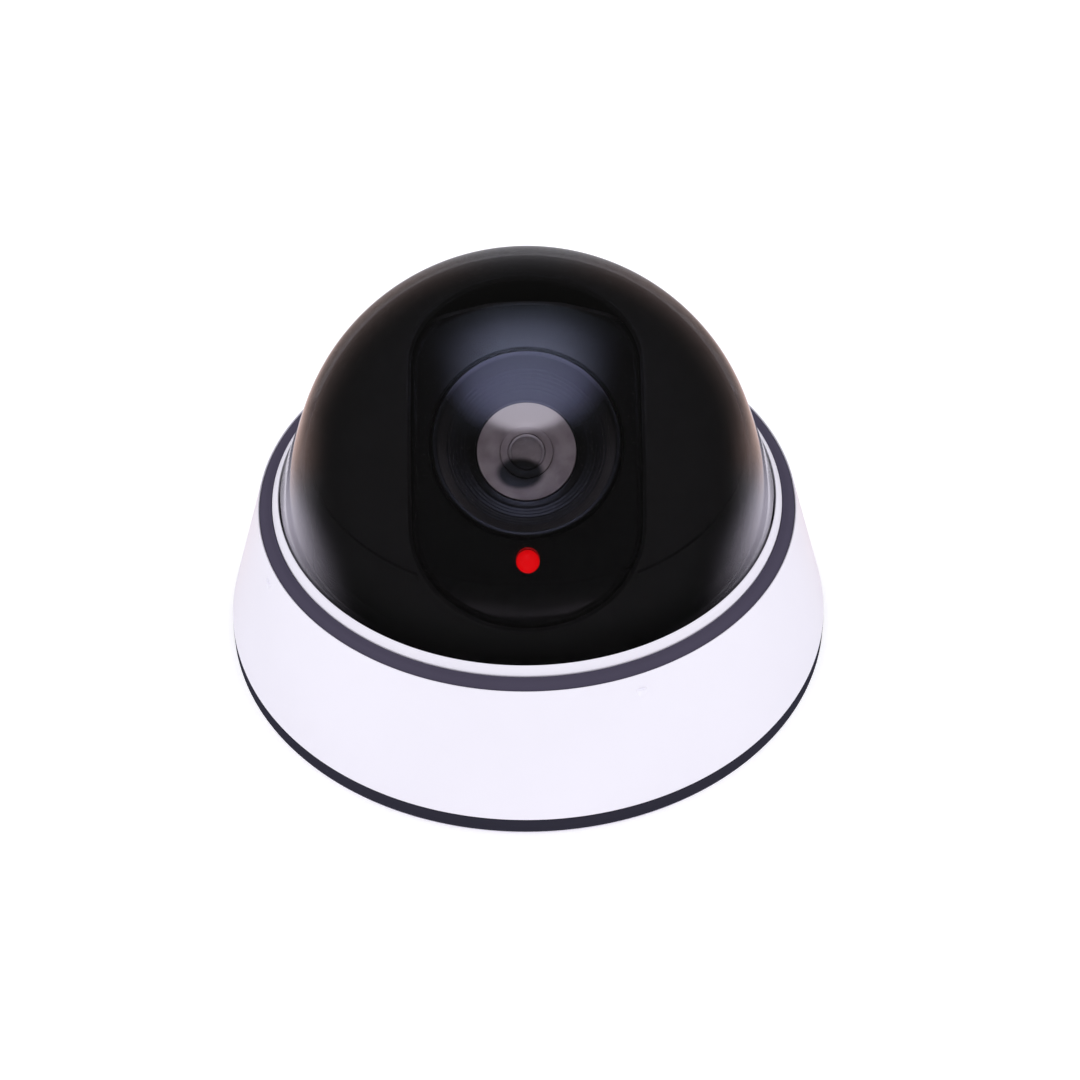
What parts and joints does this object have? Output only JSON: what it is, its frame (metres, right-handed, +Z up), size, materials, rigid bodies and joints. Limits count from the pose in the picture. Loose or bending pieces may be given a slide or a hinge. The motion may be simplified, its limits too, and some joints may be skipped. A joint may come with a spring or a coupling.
{
  "type": "dome cctv camera",
  "caption": "Dome security camera: flared white housing, smoked dome, and a slotted liner over a pan, tilt and roll lens module with a red indicator lamp.",
  "frame": {"origin": "centre of the flat underside of the base plate, which rests on a table or against a ceiling", "axes": "+Z up through the dome; the lens looks towards -Y and up; +X to the right seen from the front"},
  "size_m": [0.12, 0.12, 0.0808],
  "materials": {
    "white_plastic": "satin moulded white, faintly lilac",
    "trim_plastic": "satin dark violet-grey",
    "smoked_acrylic": "polished, tinted, see-through",
    "black_plastic": "satin moulded black",
    "silvered_metal": "pearly satin",
    "lens_glass": "polished",
    "red_lens": "lit red lamp lens",
    "circuit_board": "green solder mask",
    "chip_plastic": "moulded chip package",
    "screw_steel": "plated",
    "rubber": "matt",
    "socket_plastic": "moulded cream"
  },
  "bodies": {
    "base": {"base_plate": "white_plastic", "cable_grommet": "rubber", "pan_bearing_ring": "black_plastic", "bearing_screw_1": "screw_steel", "bearing_screw_2": "screw_steel", "bearing_screw_3": "screw_steel", "main_board": "circuit_board", "board_screw_1": "screw_steel", "board_screw_2": "screw_steel", "board_screw_3": "screw_steel", "processor": "chip_plastic", "capacitor": "silvered_metal", "harness_socket": "socket_plastic", "service_board": "circuit_board", "service_screw_1": "screw_steel", "service_screw_2": "screw_steel", "card_socket": "silvered_metal", "reset_switch": "chip_plastic"},
    "reset_key": {"reset_button": "trim_plastic"},
    "pan": {"turntable": "black_plastic", "tilt_yoke": "black_plastic", "yoke_screw_1": "screw_steel", "yoke_screw_2": "screw_steel", "dome_liner": "black_plastic", "liner_screw_1": "screw_steel", "liner_screw_2": "screw_steel", "liner_screw_3": "screw_steel"},
    "tilt": {"eyeball_front": "black_plastic", "eyeball_back": "black_plastic", "eyeball_screw_1": "screw_steel", "eyeball_screw_2": "screw_steel", "tilt_screw_left": "screw_steel", "tilt_screw_right": "screw_steel", "friction_washer_left": "rubber", "friction_washer_right": "rubber", "status_led": "red_lens", "led_board": "circuit_board"},
    "lens_roll": {"lens_hood": "black_plastic", "lens_bezel": "silvered_metal", "roll_clip": "screw_steel", "lens_mount": "black_plastic", "sensor_board": "circuit_board", "image_sensor": "chip_plastic"},
    "focus": {"lens_barrel": "black_plastic", "front_lens": "lens_glass", "rear_lens": "lens_glass"},
    "cover": {"housing": "white_plastic", "lower_trim": "trim_plastic", "upper_trim": "trim_plastic", "smoked_dome": "smoked_acrylic", "dome_gasket": "rubber", "dome_retainer": "black_plastic", "retainer_screw_1": "screw_steel", "retainer_screw_2": "screw_steel", "retainer_screw_3": "screw_steel", "retainer_screw_4": "screw_steel"}
  },
  "joints": [
    {"name": "pan_turn", "type": "hinge", "parent": "base", "child": "pan", "pos_m": [0, 0, 0.0096], "axis": [0, 0, 1], "range_deg": [-174, 174]},
    {"name": "lens_tilt", "type": "hinge", "parent": "pan", "child": "tilt", "pos_m": [0, 0, 0.0354], "axis": [-1, 0, 0], "range_deg": [-15, 25]},
    {"name": "hood_roll", "type": "hinge", "parent": "tilt", "child": "lens_roll", "pos_m": [0, 0, 0.0354], "axis": [0, -0.6088, 0.7934], "range_deg": [-175, 175]},
    {"name": "focus_turn", "type": "hinge", "parent": "lens_roll", "child": "focus", "pos_m": [0, 0, 0.0354], "axis": [0, -0.6088, 0.7934], "range_deg": [-170, 170]},
    {"name": "cover_lift", "type": "slide", "parent": "base", "child": "cover", "axis": [0, 0, 1], "range_m": [0, 0.09]},
    {"name": "reset_press", "type": "slide", "parent": "base", "child": "reset_key", "axis": [0, 0, -1], "range_m": [0, 0.0004], "stiffness_N_per_m": 600, "springref_m": -0.0005}
  ]
}
